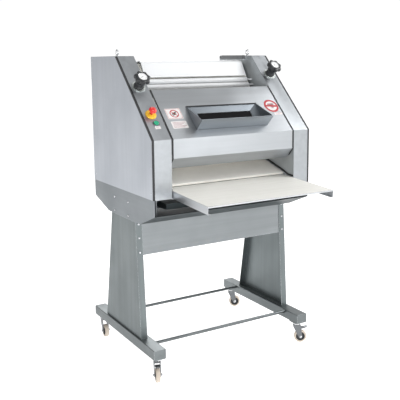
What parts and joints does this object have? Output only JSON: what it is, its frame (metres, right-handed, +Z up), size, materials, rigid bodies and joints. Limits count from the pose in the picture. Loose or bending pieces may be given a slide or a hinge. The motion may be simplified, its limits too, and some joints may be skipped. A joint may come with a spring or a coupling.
{
  "type": "dough sheeter",
  "caption": "Dough sheeter-moulder: hopper over sheeting rollers, moulding belts, delivery table, handwheel adjusters and a castored stand.",
  "frame": {"origin": "on the floor under the middle of the bounding box", "axes": "+X to the machine's right as seen from the front, +Y to its back, +Z up"},
  "size_m": [1.0418, 1.15, 1.75],
  "materials": {
    "panel_steel": "brushed",
    "side_steel": "brushed",
    "base_steel": "brushed",
    "inner_steel": "brushed",
    "stand_paint": "satin",
    "rod_steel": "satin",
    "castor_steel": "polished",
    "castor_tyre": "satin",
    "trim_black": "matt",
    "cover_white": "gloss",
    "belt_cream": "woven",
    "sheeting_plastic": "satin",
    "roller_aluminium": "turned",
    "hopper_steel": "polished",
    "table_board": "satin",
    "table_steel": "brushed",
    "knob_black": "satin",
    "collar_yellow": "satin",
    "button_red": "gloss",
    "button_green": "gloss",
    "motor_paint": "cast",
    "drive_steel": "oiled"
  },
  "bodies": {
    "body": {"foot_beams": "stand_paint", "legs": "stand_paint", "cross_beams": "stand_paint", "tie_rods": "rod_steel", "stand_bolts": "rod_steel", "base_sides": "base_steel", "base_pan": "base_steel", "inner_walls": "inner_steel", "left_side_cover": "side_steel", "right_side_cover": "side_steel", "left_panel": "panel_steel", "right_panel": "panel_steel", "edge_trims": "trim_black", "rear_cover": "side_steel", "cable_gland": "knob_black", "cross_ties": "rod_steel", "lifting_eyes": "rod_steel", "roller_bearings": "drive_steel", "belt_cover": "cover_white", "guide_bars": "cover_white", "gearmotor": "motor_paint", "drive_chain": "drive_steel", "moulding_belt": "belt_cream", "delivery_belt": "belt_cream", "roller_scraper": "inner_steel", "table_brackets": "inner_steel", "handwheel_flanges": "inner_steel", "estop_collar": "collar_yellow", "castor_plates": "castor_steel"},
    "guard": {"front_guard": "panel_steel", "hopper": "hopper_steel", "guard_trims": "trim_black"},
    "table": {"table_frame": "table_steel", "table_top": "table_board"},
    "front_roller": {"front_roller": "sheeting_plastic"},
    "rear_roller": {"rear_roller": "sheeting_plastic"},
    "roller_carriage": {"roller_carriage": "drive_steel"},
    "top_roller": {"top_roller": "roller_aluminium"},
    "front_idler": {"front_idler": "roller_aluminium"},
    "rear_idler": {"rear_idler": "roller_aluminium"},
    "pressure_board": {"pressure_board": "sheeting_plastic"},
    "nose_roller": {"nose_roller": "roller_aluminium"},
    "tail_roller": {"tail_roller": "roller_aluminium"},
    "drive_sprocket": {"drive_sprocket": "drive_steel"},
    "crumb_tray": {"crumb_tray": "inner_steel"},
    "left_handwheel": {"left_handwheel": "knob_black"},
    "right_handwheel": {"right_handwheel": "knob_black"},
    "estop_button": {"estop_button": "button_red"},
    "start_button": {"start_button": "button_green"},
    "release_lever": {"release_lever": "knob_black"},
    "front_left_fork": {"front_left_fork": "castor_steel"},
    "front_left_wheel": {"front_left_wheel": "castor_tyre"},
    "front_left_pedal": {"front_left_pedal": "castor_steel"},
    "front_right_fork": {"front_right_fork": "castor_steel"},
    "front_right_wheel": {"front_right_wheel": "castor_tyre"},
    "front_right_pedal": {"front_right_pedal": "castor_steel"},
    "rear_left_fork": {"rear_left_fork": "castor_steel"},
    "rear_left_wheel": {"rear_left_wheel": "castor_tyre"},
    "rear_right_fork": {"rear_right_fork": "castor_steel"},
    "rear_right_wheel": {"rear_right_wheel": "castor_tyre"}
  },
  "joints": [
    {"name": "guard_open", "type": "hinge", "parent": "body", "child": "guard", "pos_m": [0, 0.01542, 1.52042], "axis": [-1, 0, 0], "range_deg": [0, 80]},
    {"name": "top_roller_spin", "type": "hinge", "parent": "body", "child": "top_roller", "pos_m": [0, 0.295, 1.629], "axis": [1, 0, 0], "continuous": true},
    {"name": "front_idler_spin", "type": "hinge", "parent": "body", "child": "front_idler", "pos_m": [0, 0.00844, 1.15955], "axis": [1, 0, 0], "continuous": true},
    {"name": "rear_idler_spin", "type": "hinge", "parent": "body", "child": "rear_idler", "pos_m": [0, 0.28636, 1.2424], "axis": [1, 0, 0], "continuous": true},
    {"name": "drive_sprocket_spin", "type": "hinge", "parent": "body", "child": "drive_sprocket", "pos_m": [0, 0.44, 1.1], "axis": [1, 0, 0], "continuous": true},
    {"name": "nose_roller_spin", "type": "hinge", "parent": "body", "child": "nose_roller", "pos_m": [0, -0.15, 1.036], "axis": [1, 0, 0], "continuous": true},
    {"name": "tail_roller_spin", "type": "hinge", "parent": "body", "child": "tail_roller", "pos_m": [0, 0.23847, 1.13303], "axis": [1, 0, 0], "continuous": true},
    {"name": "front_roller_spin", "type": "hinge", "parent": "body", "child": "front_roller", "pos_m": [0, -0.15, 1.24], "axis": [1, 0, 0], "continuous": true},
    {"name": "roller_gap", "type": "slide", "parent": "body", "child": "roller_carriage", "axis": [0, 0.5, 0.866], "range_m": [-0.003, 0.009]},
    {"name": "rear_roller_spin", "type": "hinge", "parent": "roller_carriage", "child": "rear_roller", "pos_m": [0, -0.1055, 1.31708], "axis": [1, 0, 0], "continuous": true},
    {"name": "board_height", "type": "slide", "parent": "body", "child": "pressure_board", "axis": [0, -0.2857, 0.9583], "range_m": [-0.009, 0.006]},
    {"name": "left_handwheel_turn", "type": "hinge", "parent": "body", "child": "left_handwheel", "pos_m": [-0.445, 0.02239, 1.54739], "axis": [0, -0.7071, 0.7071], "range_deg": [-1080.1, 720.1]},
    {"name": "right_handwheel_turn", "type": "hinge", "parent": "body", "child": "right_handwheel", "pos_m": [0.447, 0.0733, 1.5983], "axis": [0, -0.7071, 0.7071], "range_deg": [-360.1, 1080.1]},
    {"name": "estop_press", "type": "slide", "parent": "body", "child": "estop_button", "axis": [0, 0.7071, -0.7071], "range_m": [0, 0.006], "stiffness_N_per_m": 400},
    {"name": "start_press", "type": "slide", "parent": "body", "child": "start_button", "axis": [0, 0.7071, -0.7071], "range_m": [0, 0.004], "stiffness_N_per_m": 300},
    {"name": "release_lever_turn", "type": "hinge", "parent": "body", "child": "release_lever", "pos_m": [0.37, 0.238, 1.7], "axis": [0, 0, -1], "range_deg": [0, 80]},
    {"name": "table_push", "type": "slide", "parent": "body", "child": "table", "axis": [0, 0.9983, 0.0588], "range_m": [0, 0.3]},
    {"name": "crumb_tray_pull", "type": "slide", "parent": "body", "child": "crumb_tray", "axis": [0, -1, 0], "range_m": [0, 0.35]},
    {"name": "front_left_swivel", "type": "hinge", "parent": "body", "child": "front_left_fork", "pos_m": [-0.472, -0.182, 0.115], "axis": [0, 0, 1], "continuous": true},
    {"name": "front_left_roll", "type": "hinge", "parent": "front_left_fork", "child": "front_left_wheel", "pos_m": [-0.47952, -0.20267, 0.0375], "axis": [-0.9397, 0.342, 0], "continuous": true},
    {"name": "front_left_brake", "type": "hinge", "parent": "front_left_fork", "child": "front_left_pedal", "pos_m": [-0.47884, -0.20079, 0.089], "axis": [0.9397, -0.342, 0], "range_deg": [0, 12]},
    {"name": "front_right_swivel", "type": "hinge", "parent": "body", "child": "front_right_fork", "pos_m": [0.472, -0.182, 0.115], "axis": [0, 0, 1], "continuous": true},
    {"name": "front_right_roll", "type": "hinge", "parent": "front_right_fork", "child": "front_right_wheel", "pos_m": [0.49086, -0.19333, 0.0375], "axis": [-0.515, -0.8572, 0], "continuous": true},
    {"name": "front_right_brake", "type": "hinge", "parent": "front_right_fork", "child": "front_right_pedal", "pos_m": [0.48914, -0.1923, 0.089], "axis": [0.515, 0.8572, 0], "range_deg": [0, 12]},
    {"name": "rear_left_swivel", "type": "hinge", "parent": "body", "child": "rear_left_fork", "pos_m": [-0.472, 0.53, 0.115], "axis": [0, 0, 1], "continuous": true},
    {"name": "rear_left_roll", "type": "hinge", "parent": "rear_left_fork", "child": "rear_left_wheel", "pos_m": [-0.47392, 0.50808, 0.0375], "axis": [-0.9962, 0.0872, 0], "continuous": true},
    {"name": "rear_right_swivel", "type": "hinge", "parent": "body", "child": "rear_right_fork", "pos_m": [0.472, 0.53, 0.115], "axis": [0, 0, 1], "continuous": true},
    {"name": "rear_right_roll", "type": "hinge", "parent": "rear_right_fork", "child": "rear_right_wheel", "pos_m": [0.49086, 0.51867, 0.0375], "axis": [-0.515, -0.8572, 0], "continuous": true}
  ],
  "couplings": [
    {"joint": "right_handwheel_turn", "follows": "roller_gap", "rad_per_m": 2094.4},
    {"joint": "left_handwheel_turn", "follows": "board_height", "rad_per_m": 2094.4},
    {"joint": "front_idler_spin", "follows": "top_roller_spin", "ratio": 1},
    {"joint": "rear_idler_spin", "follows": "top_roller_spin", "ratio": 1},
    {"joint": "drive_sprocket_spin", "follows": "top_roller_spin", "ratio": 1.2857},
    {"joint": "tail_roller_spin", "follows": "top_roller_spin", "ratio": 1},
    {"joint": "nose_roller_spin", "follows": "top_roller_spin", "ratio": 5.5},
    {"joint": "front_roller_spin", "follows": "top_roller_spin", "ratio": -0.9},
    {"joint": "rear_roller_spin", "follows": "top_roller_spin", "ratio": 0.9}
  ]
}
